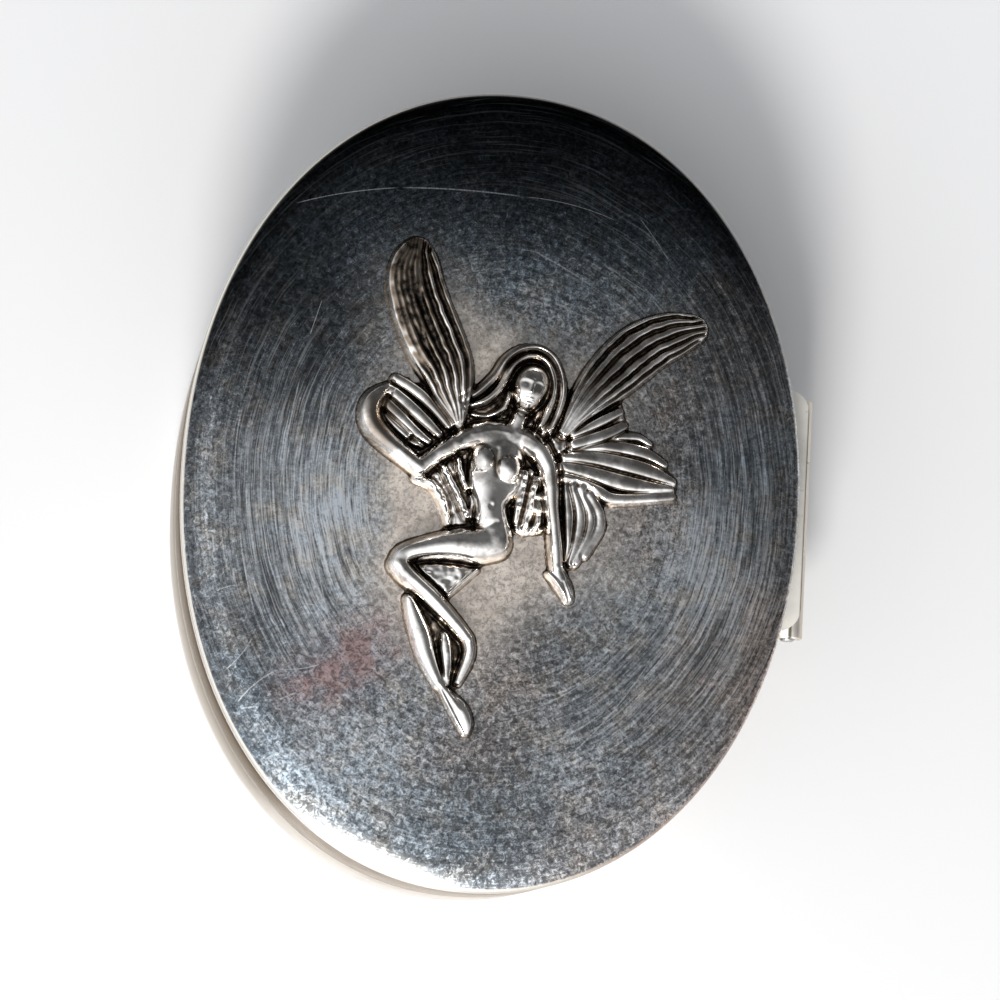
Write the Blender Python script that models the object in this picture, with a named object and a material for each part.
"""Oval silver trinket box: a hinged, slightly domed lid with a cast winged figure soldered to it.

The box stands on its flat base at z = 0. +X points to the hinge, +Y along the long axis towards the
figure's head and +Z up. All lengths are in metres.
"""
import math

import bmesh
import bpy
from mathutils import Matrix, Vector

# The oval box
BOX_LENGTH = 0.0440
BOX_WIDTH = 0.0340
OVAL_POWER = 2.08  # 2 would be a true ellipse
WALL_THICKNESS = 0.0008
WALL_EDGE_RADIUS = 0.00012
SOLDER_GAP = 0.0001

# The base
BASE_PLATE_THICKNESS = 0.0008
BASE_EDGE_RADIUS = 0.0003
BASE_WALL_HEIGHT = 0.0054
BEZEL_THICKNESS = 0.0005
BEZEL_RISE = 0.0016
BEZEL_CLEARANCE = 0.0001

# The lid
SEAM_GAP = 0.0001
LID_WALL_HEIGHT = 0.0062
LID_PLATE_THICKNESS = 0.0008
LID_EDGE_RADIUS = 0.00045
DOME_RISE = 0.0013
DOME_POWER = 2.4  # 2 would be a plain parabola, more is flatter in the middle
SHOULDER_WIDTH = 0.0020
SHOULDER_DROP = 0.00042

# The hinge
HINGE_LENGTH = 0.0136
HINGE_OFFSET = 0.00037
MIDDLE_KNUCKLE_LENGTH = 0.0050
MIDDLE_KNUCKLE_OFFSET = 0.00070
KNUCKLE_GAP = 0.0001
KNUCKLE_RADIUS = 0.00085
KNUCKLE_CLEARANCE = 0.0001
HINGE_PIN_RADIUS = 0.0004
HINGE_PIN_CLEARANCE = 0.00005
HINGE_PIN_OVERHANG = 0.00015
BEARER_SETBACK = 0.00005
BEARER_CORNER_RADIUS = 0.0013
BASE_BEARER_HEIGHT = 0.0035
LID_BEARER_HEIGHT = 0.0040

# The cast figure, whose height runs from wing tip to toe
FIGURE_HEIGHT = 0.0275
FIGURE_OFFSET_X = 0.00204
FIGURE_OFFSET_Y = 0.00011
FIGURE_LEAN_DEGREES = 3.4
BODY_RELIEF = 0.0017
WING_RELIEF = 0.0014
WEB_RELIEF = 0.0005

# How finely the round shapes are divided
OVAL_SEGMENTS = 64
DOME_RINGS = 8
EDGE_STEPS = 3
TUBE_SEGMENTS = 24
CORNER_STEPS = 6
LIMB_SIDES = 6
STEPS_PER_SPAN = 2
CUT_OVERRUN = 0.0010
BOTTOM_STAGGER = 0.00002

# Places worked out from the sizes above
BASE_WALL_BOTTOM = BASE_PLATE_THICKNESS + SOLDER_GAP
BASE_WALL_TOP = BASE_WALL_BOTTOM + BASE_WALL_HEIGHT
LID_WALL_BOTTOM = BASE_WALL_TOP + SEAM_GAP
LID_WALL_TOP = LID_WALL_BOTTOM + LID_WALL_HEIGHT
LID_PLATE_BOTTOM = LID_WALL_TOP + SOLDER_GAP
LID_RIM = LID_PLATE_BOTTOM + LID_PLATE_THICKNESS
HINGE_X = BOX_WIDTH / 2 + KNUCKLE_CLEARANCE + KNUCKLE_RADIUS
HINGE_Z = BASE_WALL_TOP + SEAM_GAP / 2
HINGE_START = HINGE_OFFSET - HINGE_LENGTH / 2
HINGE_END = HINGE_OFFSET + HINGE_LENGTH / 2
MIDDLE_KNUCKLE_START = HINGE_OFFSET + MIDDLE_KNUCKLE_OFFSET - MIDDLE_KNUCKLE_LENGTH / 2
MIDDLE_KNUCKLE_END = MIDDLE_KNUCKLE_START + MIDDLE_KNUCKLE_LENGTH
DOME_SLOPE = (DOME_RISE - SHOULDER_DROP) * DOME_POWER / (BOX_WIDTH / 2)
SHOULDER_SLOPE = 2 * SHOULDER_DROP / SHOULDER_WIDTH
DOME_TILT_AT_RIM = math.atan(DOME_SLOPE + SHOULDER_SLOPE)
DOME_INSET = LID_EDGE_RADIUS * (1 - math.sin(DOME_TILT_AT_RIM))

# The figure is drawn as strokes. A row of a stroke is x, y and half width as shares of the figure's height,
# counted from the lower left corner of the casting's sheet, and then the height above the lid as a share of
# the body's relief.
SHEET_CENTRE_SHARES = (0.35, 0.50)
TORSO_SHARES = [
    (0.288, 0.594, 0.036, 0.58), (0.278, 0.562, 0.054, 0.68), (0.274, 0.524, 0.058, 0.70),
    (0.268, 0.494, 0.046, 0.68), (0.264, 0.464, 0.035, 0.70), (0.266, 0.426, 0.036, 0.76),
    (0.272, 0.396, 0.037, 0.82),
]
ARMS_SHARES = [
    (0.122, 0.534, 0.021, 0.70), (0.164, 0.566, 0.020, 0.74), (0.192, 0.582, 0.022, 0.71),
    (0.228, 0.596, 0.026, 0.66), (0.268, 0.602, 0.028, 0.62), (0.312, 0.594, 0.028, 0.62),
    (0.356, 0.570, 0.026, 0.71), (0.376, 0.536, 0.023, 0.74), (0.382, 0.496, 0.020, 0.72),
    (0.384, 0.456, 0.018, 0.70), (0.388, 0.416, 0.017, 0.68), (0.392, 0.374, 0.017, 0.64),
    (0.394, 0.336, 0.016, 0.58), (0.400, 0.316, 0.020, 0.54), (0.412, 0.294, 0.018, 0.48),
    (0.420, 0.276, 0.012, 0.42),
]
LEFT_FOREARM_SHARES = [
    (0.118, 0.536, 0.020, 0.69), (0.094, 0.558, 0.019, 0.70), (0.058, 0.586, 0.019, 0.66),
    (0.030, 0.614, 0.019, 0.62), (0.018, 0.640, 0.018, 0.58), (0.022, 0.666, 0.017, 0.54),
    (0.038, 0.686, 0.015, 0.50), (0.060, 0.698, 0.013, 0.44),
]
THUMB_SHARES = [
    (0.378, 0.324, 0.007, 0.50), (0.396, 0.304, 0.008, 0.60), (0.412, 0.274, 0.006, 0.50),
]
BUST_SHARES = [
    [(0.240, 0.562, 0.030, 0.92), (0.241, 0.544, 0.030, 0.92)],
    [(0.298, 0.540, 0.028, 0.92), (0.300, 0.524, 0.028, 0.92)],
]
THIGH_SHARES = [
    (0.268, 0.384, 0.036, 0.83), (0.238, 0.381, 0.039, 0.88), (0.206, 0.382, 0.035, 0.90),
    (0.162, 0.380, 0.029, 0.88), (0.116, 0.372, 0.024, 0.84), (0.092, 0.360, 0.023, 0.80),
    (0.084, 0.348, 0.022, 0.77),
]
FRONT_SHIN_SHARES = [
    (0.082, 0.344, 0.023, 0.78), (0.096, 0.326, 0.022, 0.80), (0.120, 0.304, 0.021, 0.80),
    (0.176, 0.248, 0.020, 0.70), (0.204, 0.216, 0.018, 0.64), (0.220, 0.192, 0.016, 0.60),
    (0.224, 0.166, 0.015, 0.54), (0.216, 0.140, 0.013, 0.46), (0.202, 0.112, 0.009, 0.38),
]
REAR_SHIN_SHARES = [
    (0.104, 0.274, 0.014, 0.45), (0.116, 0.242, 0.020, 0.50), (0.128, 0.208, 0.023, 0.52),
    (0.138, 0.172, 0.021, 0.50), (0.150, 0.140, 0.017, 0.46), (0.170, 0.104, 0.012, 0.42),
    (0.194, 0.076, 0.016, 0.46), (0.210, 0.054, 0.019, 0.44), (0.218, 0.034, 0.017, 0.38),
    (0.220, 0.016, 0.010, 0.28),
]
NECK_SHARES = [
    (0.326, 0.648, 0.019, 0.70), (0.314, 0.622, 0.019, 0.66), (0.304, 0.598, 0.024, 0.60),
]
HEAD_SHARES = [
    (0.348, 0.720, 0.028, 0.88), (0.340, 0.692, 0.037, 0.98), (0.332, 0.666, 0.028, 0.90),
]
HAIR_SHARES = [
    [(0.356, 0.730, 0.032, 0.46), (0.360, 0.700, 0.050, 0.46), (0.366, 0.666, 0.048, 0.46),
     (0.372, 0.630, 0.028, 0.46), (0.374, 0.602, 0.016, 0.42)],
    [(0.206, 0.668, 0.008, 0.42), (0.236, 0.684, 0.011, 0.54), (0.272, 0.718, 0.012, 0.66),
     (0.296, 0.752, 0.012, 0.74), (0.326, 0.770, 0.012, 0.78), (0.360, 0.770, 0.012, 0.80),
     (0.390, 0.748, 0.012, 0.78), (0.404, 0.708, 0.012, 0.76), (0.402, 0.660, 0.012, 0.70),
     (0.382, 0.604, 0.008, 0.52)],
    [(0.212, 0.654, 0.008, 0.42), (0.250, 0.666, 0.010, 0.58), (0.278, 0.690, 0.011, 0.70),
     (0.298, 0.726, 0.011, 0.80), (0.328, 0.748, 0.010, 0.86), (0.362, 0.742, 0.010, 0.86),
     (0.384, 0.712, 0.011, 0.80), (0.382, 0.664, 0.011, 0.72), (0.356, 0.612, 0.008, 0.56)],
    [(0.224, 0.638, 0.007, 0.38), (0.258, 0.636, 0.008, 0.48), (0.288, 0.654, 0.009, 0.58),
     (0.300, 0.682, 0.009, 0.66)],
]
FEATHER_SHARES = [
    [(0.428, 0.622, 0.010, 0.52), (0.472, 0.654, 0.010, 0.46), (0.512, 0.676, 0.007, 0.38)],
    [(0.428, 0.600, 0.010, 0.50), (0.480, 0.626, 0.010, 0.46), (0.520, 0.646, 0.008, 0.36)],
    [(0.428, 0.580, 0.010, 0.50), (0.484, 0.598, 0.011, 0.44), (0.528, 0.618, 0.009, 0.34)],
]
DRAPERY_SHARES = [
    [(0.116, 0.516, 0.011, 0.46), (0.144, 0.504, 0.012, 0.48), (0.164, 0.480, 0.012, 0.46),
     (0.180, 0.424, 0.008, 0.36)],
    [(0.168, 0.536, 0.009, 0.42), (0.198, 0.480, 0.010, 0.44), (0.220, 0.436, 0.009, 0.42)],
    [(0.332, 0.524, 0.010, 0.44), (0.324, 0.492, 0.012, 0.46), (0.312, 0.428, 0.009, 0.38)],
    [(0.356, 0.512, 0.011, 0.46), (0.348, 0.480, 0.013, 0.48), (0.330, 0.416, 0.009, 0.38)],
    [(0.180, 0.282, 0.006, 0.34), (0.208, 0.306, 0.006, 0.34), (0.238, 0.332, 0.006, 0.34)],
    [(0.178, 0.192, 0.009, 0.40), (0.180, 0.156, 0.006, 0.34), (0.178, 0.116, 0.010, 0.42)],
]

# A wing is a ribbed stroke, with its height as a share of the wings' relief. The number is its count of
# ribs.
WING_SHARES = {
    "left_upper": (6, [
        (0.198, 0.620, 0.012, 0.90), (0.194, 0.648, 0.024, 0.98), (0.186, 0.684, 0.040, 1.00),
        (0.176, 0.732, 0.054, 0.98), (0.154, 0.782, 0.062, 0.90), (0.132, 0.836, 0.062, 0.83),
        (0.120, 0.874, 0.060, 0.78), (0.112, 0.910, 0.057, 0.73), (0.112, 0.940, 0.050, 0.68),
        (0.116, 0.968, 0.032, 0.63),
    ]),
    "left_lower": (4, [
        (0.168, 0.576, 0.020, 0.60), (0.144, 0.604, 0.040, 0.62), (0.114, 0.634, 0.050, 0.60),
        (0.086, 0.666, 0.050, 0.55), (0.066, 0.690, 0.028, 0.50),
    ]),
    "left_small": (3, [
        (0.184, 0.532, 0.024, 0.38), (0.186, 0.504, 0.036, 0.42), (0.198, 0.460, 0.034, 0.42),
        (0.204, 0.424, 0.026, 0.38),
    ]),
    "right_upper": (5, [
        (0.408, 0.606, 0.014, 0.84), (0.434, 0.644, 0.026, 0.90), (0.466, 0.682, 0.040, 0.90),
        (0.506, 0.722, 0.052, 0.83), (0.548, 0.760, 0.056, 0.75), (0.586, 0.786, 0.053, 0.70),
        (0.630, 0.804, 0.046, 0.66), (0.670, 0.814, 0.031, 0.58),
    ]),
    "right_lower": (4, [
        (0.412, 0.540, 0.016, 0.57), (0.462, 0.534, 0.036, 0.61), (0.506, 0.530, 0.054, 0.57),
        (0.546, 0.534, 0.062, 0.52), (0.586, 0.520, 0.048, 0.46), (0.618, 0.502, 0.024, 0.40),
    ]),
    "right_small": (4, [
        (0.426, 0.506, 0.018, 0.52), (0.444, 0.460, 0.038, 0.54), (0.442, 0.410, 0.036, 0.52),
        (0.434, 0.370, 0.028, 0.48), (0.422, 0.340, 0.014, 0.42),
    ]),
}
RIB_DEPTH_SHARE = 0.30

# Webs of thin metal tie the limbs together. Each is an outline of x and y shares.
WEB_SHARES = [
    [(0.112, 0.700), (0.168, 0.700), (0.200, 0.644), (0.208, 0.600), (0.168, 0.568), (0.120, 0.552),
     (0.060, 0.600), (0.038, 0.660), (0.060, 0.696)],
    [(0.388, 0.568), (0.432, 0.570), (0.492, 0.582), (0.540, 0.580), (0.580, 0.542), (0.600, 0.500),
     (0.540, 0.478), (0.492, 0.476), (0.432, 0.496), (0.394, 0.504)],
    [(0.384, 0.524), (0.448, 0.488), (0.472, 0.450), (0.468, 0.400), (0.432, 0.344), (0.404, 0.342),
     (0.392, 0.410)],
    [(0.390, 0.596), (0.424, 0.630), (0.508, 0.674), (0.532, 0.616), (0.482, 0.568), (0.418, 0.548)],
    [(0.116, 0.528), (0.200, 0.572), (0.234, 0.524), (0.242, 0.460), (0.248, 0.414), (0.176, 0.410),
     (0.158, 0.472), (0.126, 0.508)],
    [(0.290, 0.500), (0.332, 0.562), (0.374, 0.532), (0.390, 0.430), (0.374, 0.406), (0.328, 0.402),
     (0.294, 0.408)],
    [(0.092, 0.358), (0.262, 0.362), (0.244, 0.336), (0.178, 0.278), (0.130, 0.294)],
    [(0.114, 0.272), (0.176, 0.244), (0.222, 0.190), (0.206, 0.106), (0.162, 0.100), (0.142, 0.160)],
    [(0.208, 0.662), (0.270, 0.702), (0.330, 0.704), (0.322, 0.600), (0.240, 0.594), (0.194, 0.612)],
    [(0.316, 0.656), (0.410, 0.674), (0.446, 0.638), (0.430, 0.536), (0.366, 0.542), (0.326, 0.592)],
]


def clear_scene():
    """Remove whatever the file holds at the start."""
    for old in list(bpy.data.objects):
        bpy.data.objects.remove(old, do_unlink=True)


def make_material(name, colour, roughness):
    """Return a metal with the given base colour and roughness."""
    material = bpy.data.materials.new(name)
    material.use_nodes = True
    shader = material.node_tree.nodes["Principled BSDF"]
    shader.inputs["Base Color"].default_value = (*colour, 1.0)
    shader.inputs["Metallic"].default_value = 1.0
    shader.inputs["Roughness"].default_value = roughness
    return material


def add_object(name, bm, material=None):
    """Turn a closed bmesh into an object whose faces point out."""
    bmesh.ops.recalc_face_normals(bm, faces=bm.faces)
    mesh = bpy.data.meshes.new(name)
    bm.to_mesh(mesh)
    bm.free()
    obj = bpy.data.objects.new(name, mesh)
    bpy.context.scene.collection.objects.link(obj)
    if material:
        mesh.materials.append(material)
    return obj


def apply_boolean(obj, tool, operation):
    """Join the tool to the object or cut it away, and delete the tool."""
    modifier = obj.modifiers.new(operation.lower(), "BOOLEAN")
    modifier.operation = operation
    modifier.solver = "EXACT"
    modifier.object = tool
    bpy.context.view_layer.update()
    evaluated = obj.evaluated_get(bpy.context.evaluated_depsgraph_get())
    result = bpy.data.meshes.new_from_object(evaluated)
    obj.modifiers.remove(modifier)
    old = obj.data
    obj.data = result
    bpy.data.meshes.remove(old)
    bpy.data.objects.remove(tool, do_unlink=True)


def shade_round(obj, sharp_angle=math.radians(35)):
    """Shade an object smooth and keep its real edges sharp."""
    obj.data.shade_smooth()
    obj.data.set_sharp_from_angle(angle=sharp_angle)


def loft(bm, rings, closed):
    """Skin a list of vertex rings, and either close the loop of rings or cap both ends."""
    count = len(rings)
    size = len(rings[0])
    for index in range(count if closed else count - 1):
        lower = rings[index]
        upper = rings[(index + 1) % count]
        for side in range(size):
            following = (side + 1) % size
            bm.faces.new((lower[side], lower[following], upper[following], upper[side]))
    if not closed:
        bm.faces.new(reversed(rings[0]))
        bm.faces.new(rings[-1])


def oval_ring(bm, half_x, half_y, height_at):
    """Add a ring of the box's oval, whose z comes from a function of x and y."""
    ring = []
    for index in range(OVAL_SEGMENTS):
        angle = 2 * math.pi * index / OVAL_SEGMENTS
        cosine, sine = math.cos(angle), math.sin(angle)
        x = half_x * math.copysign(abs(cosine) ** (2 / OVAL_POWER), cosine)
        y = half_y * math.copysign(abs(sine) ** (2 / OVAL_POWER), sine)
        ring.append(bm.verts.new((x, y, height_at(x, y))))
    return ring


def inset_ring(bm, inset, z):
    """Add a level ring that lies inside the box's outline by the inset."""
    return oval_ring(bm, BOX_WIDTH / 2 - inset, BOX_LENGTH / 2 - inset, lambda x, y: z)


def rounded_band_profile(outer_inset, thickness, bottom, top):
    """Return the closed profile of a wall as inset and height, with its four edges eased."""
    ease = min(WALL_EDGE_RADIUS, thickness / 3)
    inner_inset = outer_inset + thickness
    return [
        (outer_inset, bottom + ease), (outer_inset, top - ease),
        (outer_inset + ease, top), (inner_inset - ease, top),
        (inner_inset, top - ease), (inner_inset, bottom + ease),
        (inner_inset - ease, bottom), (outer_inset + ease, bottom),
    ]


def make_band(name, profile, material):
    """Build a wall that runs round the oval with the given profile."""
    bm = bmesh.new()
    loft(bm, [inset_ring(bm, inset, z) for inset, z in profile], closed=True)
    obj = add_object(name, bm, material)
    shade_round(obj)
    return obj


def make_base_plate(material):
    """Build the flat sheet under the box, with its lower edge rounded."""
    bm = bmesh.new()
    profile = []
    for step in range(EDGE_STEPS + 1):
        angle = math.pi / 2 * step / EDGE_STEPS
        inset = BASE_EDGE_RADIUS * (1 - math.sin(angle))
        profile.append((inset, BASE_EDGE_RADIUS * (1 - math.cos(angle))))
    profile.append((0, BASE_PLATE_THICKNESS))
    loft(bm, [inset_ring(bm, inset, z) for inset, z in profile], closed=False)
    obj = add_object("base_plate", bm, material)
    shade_round(obj)
    return obj


def dome_height(x, y):
    """Return the height of the lid's top surface over a point: a flat dome with a rounded shoulder."""
    reach_x = abs(x) / (BOX_WIDTH / 2)
    reach_y = abs(y) / (BOX_LENGTH / 2)
    reach = (reach_x ** OVAL_POWER + reach_y ** OVAL_POWER) ** (1 / OVAL_POWER)
    inset = (1 - reach) * BOX_WIDTH / 2
    shoulder = max(1 - inset / SHOULDER_WIDTH, 0) ** 2
    return LID_RIM + DOME_RISE - (DOME_RISE - SHOULDER_DROP) * reach ** DOME_POWER - SHOULDER_DROP * shoulder


def dome_rings(bm, rings, inset, offset):
    """Add rings of a domed surface from its crown to an inset from the outline, raised by the offset."""
    result = []
    for index in range(1, rings + 1):
        share = math.sin(math.pi / 2 * index / rings)
        half_x = share * (BOX_WIDTH / 2 - inset)
        half_y = share * (BOX_LENGTH / 2 - inset)
        result.append(oval_ring(bm, half_x, half_y, lambda x, y: dome_height(x, y) + offset))
    return result


def cap_crown(bm, ring, offset):
    """Close the smallest ring of a dome with a fan to its crown."""
    crown = bm.verts.new((0, 0, dome_height(0, 0) + offset))
    for index, vert in enumerate(ring):
        bm.faces.new((vert, ring[(index + 1) % len(ring)], crown))


def make_lid_plate(material):
    """Build the domed sheet of the lid: flat over the wall, and with a rounded edge that runs into the dome."""
    bm = bmesh.new()
    edge_height = dome_height(BOX_WIDTH / 2 - DOME_INSET, 0) - LID_EDGE_RADIUS * math.cos(DOME_TILT_AT_RIM)
    under = dome_rings(bm, DOME_RINGS // 2, 2 * WALL_THICKNESS, -LID_PLATE_THICKNESS)
    edge = [inset_ring(bm, WALL_THICKNESS, LID_PLATE_BOTTOM), inset_ring(bm, 0, LID_PLATE_BOTTOM)]
    for step in range(EDGE_STEPS):
        angle = (math.pi / 2 - DOME_TILT_AT_RIM) * step / EDGE_STEPS
        inset = LID_EDGE_RADIUS * (1 - math.cos(angle))
        edge.append(inset_ring(bm, inset, edge_height + LID_EDGE_RADIUS * math.sin(angle)))
    top = dome_rings(bm, DOME_RINGS, DOME_INSET, 0)
    rings = under + edge + list(reversed(top))
    for lower, upper in zip(rings, rings[1:]):
        for side in range(OVAL_SEGMENTS):
            following = (side + 1) % OVAL_SEGMENTS
            bm.faces.new((lower[side], lower[following], upper[following], upper[side]))
    cap_crown(bm, under[0], -LID_PLATE_THICKNESS)
    cap_crown(bm, top[0], 0)
    obj = add_object("lid_plate", bm, material)
    shade_round(obj)
    return obj


def make_dome_cutter():
    """Build the solid under the lid's surface, raised by the solder gap, that seats the figure."""
    bm = bmesh.new()
    top = dome_rings(bm, DOME_RINGS, DOME_INSET, SOLDER_GAP)
    floor = inset_ring(bm, DOME_INSET, LID_PLATE_BOTTOM - CUT_OVERRUN)
    rings = [floor] + list(reversed(top))
    for lower, upper in zip(rings, rings[1:]):
        for side in range(OVAL_SEGMENTS):
            following = (side + 1) % OVAL_SEGMENTS
            bm.faces.new((lower[side], lower[following], upper[following], upper[side]))
    cap_crown(bm, top[0], SOLDER_GAP)
    bm.faces.new(floor)
    return add_object("dome_cutter", bm)


def tube_ring(bm, radius, y):
    """Add a ring about the hinge's axis."""
    ring = []
    for index in range(TUBE_SEGMENTS):
        angle = 2 * math.pi * index / TUBE_SEGMENTS
        ring.append(bm.verts.new((HINGE_X + radius * math.cos(angle), y, HINGE_Z + radius * math.sin(angle))))
    return ring


def make_knuckle(name, start_y, end_y, material):
    """Build one hinge tube between two places along the hinge's axis."""
    bm = bmesh.new()
    bore = HINGE_PIN_RADIUS + HINGE_PIN_CLEARANCE
    ease = (KNUCKLE_RADIUS - bore) / 4
    rings = [
        tube_ring(bm, KNUCKLE_RADIUS - ease, start_y), tube_ring(bm, KNUCKLE_RADIUS, start_y + ease),
        tube_ring(bm, KNUCKLE_RADIUS, end_y - ease), tube_ring(bm, KNUCKLE_RADIUS - ease, end_y),
        tube_ring(bm, bore, end_y), tube_ring(bm, bore, start_y),
    ]
    loft(bm, rings, closed=True)
    obj = add_object(name, bm, material)
    shade_round(obj)
    return obj


def make_hinge_pin(material):
    """Build the wire through the knuckles, with its ends slightly riveted over."""
    bm = bmesh.new()
    ease = HINGE_PIN_OVERHANG
    start, end = HINGE_START - ease, HINGE_END + ease
    rings = [
        tube_ring(bm, HINGE_PIN_RADIUS - ease, start), tube_ring(bm, HINGE_PIN_RADIUS, start + ease),
        tube_ring(bm, HINGE_PIN_RADIUS, end - ease), tube_ring(bm, HINGE_PIN_RADIUS - ease, end),
    ]
    loft(bm, rings, closed=False)
    obj = add_object("hinge_pin", bm, material)
    shade_round(obj)
    return obj


def make_oval_cutter(bottom, top):
    """Build a prism of the box's outline, grown by the solder gap."""
    bm = bmesh.new()
    loft(bm, [inset_ring(bm, -SOLDER_GAP, bottom), inset_ring(bm, -SOLDER_GAP, top)], closed=False)
    return add_object("oval_cutter", bm)


def make_groove_cutter():
    """Build the cylinder that clears the knuckles along the whole hinge."""
    bm = bmesh.new()
    radius = KNUCKLE_RADIUS + KNUCKLE_CLEARANCE
    start, end = HINGE_START - CUT_OVERRUN, HINGE_END + CUT_OVERRUN
    loft(bm, [tube_ring(bm, radius, start), tube_ring(bm, radius, end)], closed=False)
    return add_object("groove_cutter", bm)


def make_bearer(name, bottom, top, material):
    """Build a straight-backed strip that fills the space between the curved wall and the hinge."""
    back = HINGE_X - BEARER_SETBACK
    front = BOX_WIDTH / 2 - WALL_THICKNESS - BEARER_CORNER_RADIUS
    half = HINGE_LENGTH / 2
    outline = [(front, HINGE_END), (front, HINGE_START)]
    for side in (-1, 1):
        for step in range(CORNER_STEPS + 1):
            share = step / CORNER_STEPS if side < 0 else 1 - step / CORNER_STEPS
            angle = math.pi / 2 * share
            x = back - BEARER_CORNER_RADIUS * (1 - math.sin(angle))
            y = HINGE_OFFSET + side * (half - BEARER_CORNER_RADIUS * (1 - math.cos(angle)))
            outline.append((x, y))
    bm = bmesh.new()
    rings = [[bm.verts.new((x, y, z)) for x, y in outline] for z in (bottom, top)]
    loft(bm, rings, closed=False)
    obj = add_object(name, bm, material)
    apply_boolean(obj, make_oval_cutter(bottom - CUT_OVERRUN, top + CUT_OVERRUN), "DIFFERENCE")
    apply_boolean(obj, make_groove_cutter(), "DIFFERENCE")
    shade_round(obj)
    return obj


def smooth_rows(knots):
    """Return rows read from a smooth curve through rows of numbers."""
    points = [Vector(knot) for knot in knots]
    last = len(points) - 1
    rows = []
    for index in range(last):
        before = points[max(index - 1, 0)]
        start, end = points[index], points[index + 1]
        after = points[min(index + 2, last)]
        for step in range(STEPS_PER_SPAN):
            t = step / STEPS_PER_SPAN
            middle = start.lerp(end, t)
            first = before.lerp(start, t + 1).lerp(middle, (t + 1) / 2)
            second = middle.lerp(end.lerp(after, t - 1), t / 2)
            rows.append(first.lerp(second, t))
    rows.append(points[-1])
    return rows


def figure_place(x_share, y_share):
    """Return the place on the lid of a point of the figure's drawing."""
    drawn = (Vector((x_share, y_share)) - Vector(SHEET_CENTRE_SHARES)) * FIGURE_HEIGHT
    leaning = Matrix.Rotation(math.radians(FIGURE_LEAN_DEGREES), 2) @ drawn
    return leaning + Vector((FIGURE_OFFSET_X, FIGURE_OFFSET_Y))


def stations(knots, relief):
    """Return the rows of a stroke as centre, half width and height, rounded off at both ends."""
    rows = []
    for x_share, y_share, width_share, height_share in smooth_rows(knots):
        rows.append((figure_place(x_share, y_share), width_share * FIGURE_HEIGHT, height_share * relief))
    ends = []
    for (centre, width, height), (inner, _, _) in ((rows[0], rows[1]), (rows[-1], rows[-2])):
        outward = (centre - inner).normalized()
        cap = []
        for angle in (math.radians(38), math.radians(68)):
            cap.append((centre + outward * width * math.sin(angle), width * math.cos(angle),
                        height * math.cos(angle) ** 0.5))
        ends.append(cap)
    return list(reversed(ends[0])) + rows + ends[1]


def make_stroke(rows, profile_shares, bottom):
    """Build a solid bar along a stroke, whose top follows the dome with the given cross profile."""
    bm = bmesh.new()
    rings = []
    for index, (centre, width, height) in enumerate(rows):
        ahead = rows[min(index + 1, len(rows) - 1)][0]
        behind = rows[max(index - 1, 0)][0]
        along = (ahead - behind).normalized()
        across = Vector((-along.y, along.x))
        ring = []
        for offset_share, height_share in profile_shares:
            place = centre + across * width * offset_share
            z = dome_height(place.x, place.y) + SOLDER_GAP + height * height_share
            ring.append(bm.verts.new((place.x, place.y, z)))
        for offset_share, _ in (profile_shares[-1], profile_shares[0]):
            place = centre + across * width * offset_share
            ring.append(bm.verts.new((place.x, place.y, bottom)))
        rings.append(ring)
    loft(bm, rings, closed=False)
    return add_object("stroke", bm)


def limb_profile():
    """Return the half-round cross profile of a limb as offset and height shares."""
    profile = []
    for index in range(LIMB_SIDES + 1):
        angle = math.pi * index / LIMB_SIDES
        profile.append((-math.cos(angle), max(math.sin(angle), 0.02)))
    return profile


def wing_profile(ribs):
    """Return the ribbed cross profile of a wing as offset and height shares."""
    profile = []
    for index in range(2 * ribs + 1):
        offset_share = index / ribs - 1
        fall = 1 - 0.35 * offset_share ** 4
        profile.append((offset_share, fall * (1 if index % 2 else 1 - RIB_DEPTH_SHARE)))
    return profile


def make_web(outline_shares, bottom):
    """Build a thin plate between limbs from its outline."""
    bm = bmesh.new()
    places = [figure_place(x_share, y_share) for x_share, y_share in outline_shares]
    lower = [bm.verts.new((place.x, place.y, bottom)) for place in places]
    upper = [bm.verts.new((place.x, place.y, dome_height(place.x, place.y) + WEB_RELIEF)) for place in places]
    centre = sum(places, Vector((0, 0))) / len(places)
    middle = bm.verts.new((centre.x, centre.y, dome_height(centre.x, centre.y) + WEB_RELIEF))
    for index in range(len(places)):
        following = (index + 1) % len(places)
        bm.faces.new((lower[index], lower[following], upper[following], upper[index]))
        bm.faces.new((upper[index], upper[following], middle))
    bm.faces.new(reversed(lower))
    return add_object("web", bm)


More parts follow.
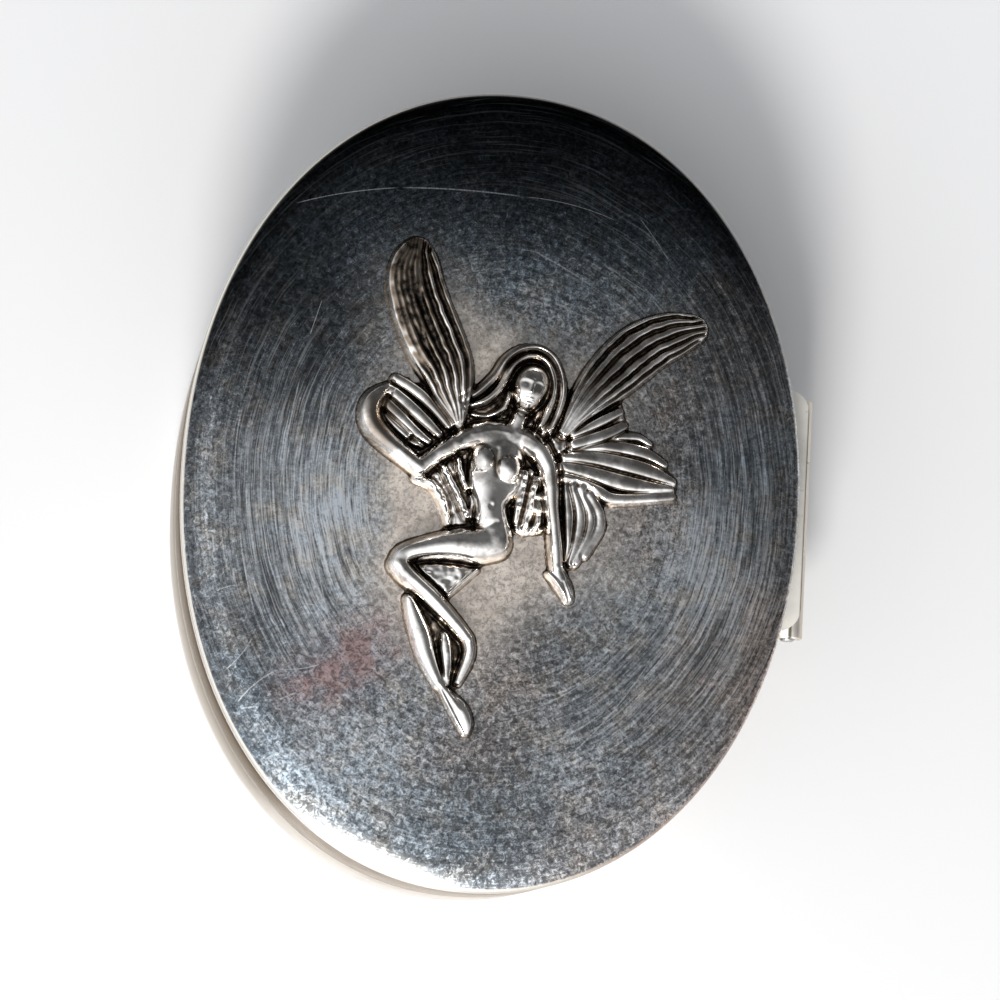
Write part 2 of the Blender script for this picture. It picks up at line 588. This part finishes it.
def make_figure(material):
    """Build the cast figure as one solid from its webs, wings and limbs, seated on the dome."""
    limbs = [TORSO_SHARES, ARMS_SHARES, LEFT_FOREARM_SHARES, THUMB_SHARES, THIGH_SHARES,
             FRONT_SHIN_SHARES, REAR_SHIN_SHARES, NECK_SHARES, HEAD_SHARES]
    limbs += BUST_SHARES + HAIR_SHARES + FEATHER_SHARES + DRAPERY_SHARES
    bottom = LID_PLATE_BOTTOM
    pieces = []
    for outline_shares in WEB_SHARES:
        pieces.append(make_web(outline_shares, bottom - BOTTOM_STAGGER * len(pieces)))
    for ribs, knots in WING_SHARES.values():
        rows = stations(knots, WING_RELIEF)
        pieces.append(make_stroke(rows, wing_profile(ribs), bottom - BOTTOM_STAGGER * len(pieces)))
    for knots in limbs:
        rows = stations(knots, BODY_RELIEF)
        pieces.append(make_stroke(rows, limb_profile(), bottom - BOTTOM_STAGGER * len(pieces)))
    figure = pieces[0]
    for piece in pieces[1:]:
        apply_boolean(figure, piece, "UNION")
    apply_boolean(figure, make_dome_cutter(), "DIFFERENCE")
    figure.name = "fairy_figure"
    figure.data.name = "fairy_figure"
    figure.data.materials.clear()
    figure.data.materials.append(material)
    shade_round(figure)
    return figure


def make_base(polished, steel):
    """Build the pieces of the lower box."""
    make_base_plate(polished)
    make_band("base_wall", rounded_band_profile(0, WALL_THICKNESS, BASE_WALL_BOTTOM, BASE_WALL_TOP), polished)
    bezel_inset = WALL_THICKNESS + BEZEL_CLEARANCE
    bezel_profile = rounded_band_profile(bezel_inset, BEZEL_THICKNESS, BASE_WALL_BOTTOM,
                                         BASE_WALL_TOP + BEZEL_RISE)
    make_band("inner_bezel", bezel_profile, polished)
    make_bearer("base_hinge_bearer", BASE_WALL_TOP - BASE_BEARER_HEIGHT, BASE_WALL_TOP, polished)
    make_knuckle("base_knuckle_upper", MIDDLE_KNUCKLE_END + KNUCKLE_GAP, HINGE_END, polished)
    make_knuckle("base_knuckle_lower", HINGE_START, MIDDLE_KNUCKLE_START - KNUCKLE_GAP, polished)
    make_hinge_pin(steel)


def make_lid(tarnished, polished):
    """Build the pieces of the lid and hang them on an empty on the hinge's axis."""
    lid_profile = rounded_band_profile(0, WALL_THICKNESS, LID_WALL_BOTTOM, LID_WALL_TOP)
    pieces = [
        make_band("lid_wall", lid_profile, polished),
        make_lid_plate(tarnished),
        make_bearer("lid_hinge_bearer", LID_WALL_BOTTOM, LID_WALL_BOTTOM + LID_BEARER_HEIGHT, polished),
        make_knuckle("lid_knuckle", MIDDLE_KNUCKLE_START, MIDDLE_KNUCKLE_END, polished),
        make_figure(polished),
    ]
    pivot = bpy.data.objects.new("lid_pivot", None)
    pivot.location = (HINGE_X, 0, HINGE_Z)
    bpy.context.scene.collection.objects.link(pivot)
    for piece in pieces:
        piece.parent = pivot
        piece.location = (-HINGE_X, 0, -HINGE_Z)


def main():
    """Build the whole box."""
    clear_scene()
    polished = make_material("polished_silver", (0.72, 0.70, 0.67), 0.22)
    tarnished = make_material("tarnished_silver", (0.24, 0.26, 0.29), 0.30)
    steel = make_material("pin_wire", (0.50, 0.49, 0.47), 0.35)
    make_base(polished, steel)
    make_lid(tarnished, polished)
    bpy.context.view_layer.update()


main()
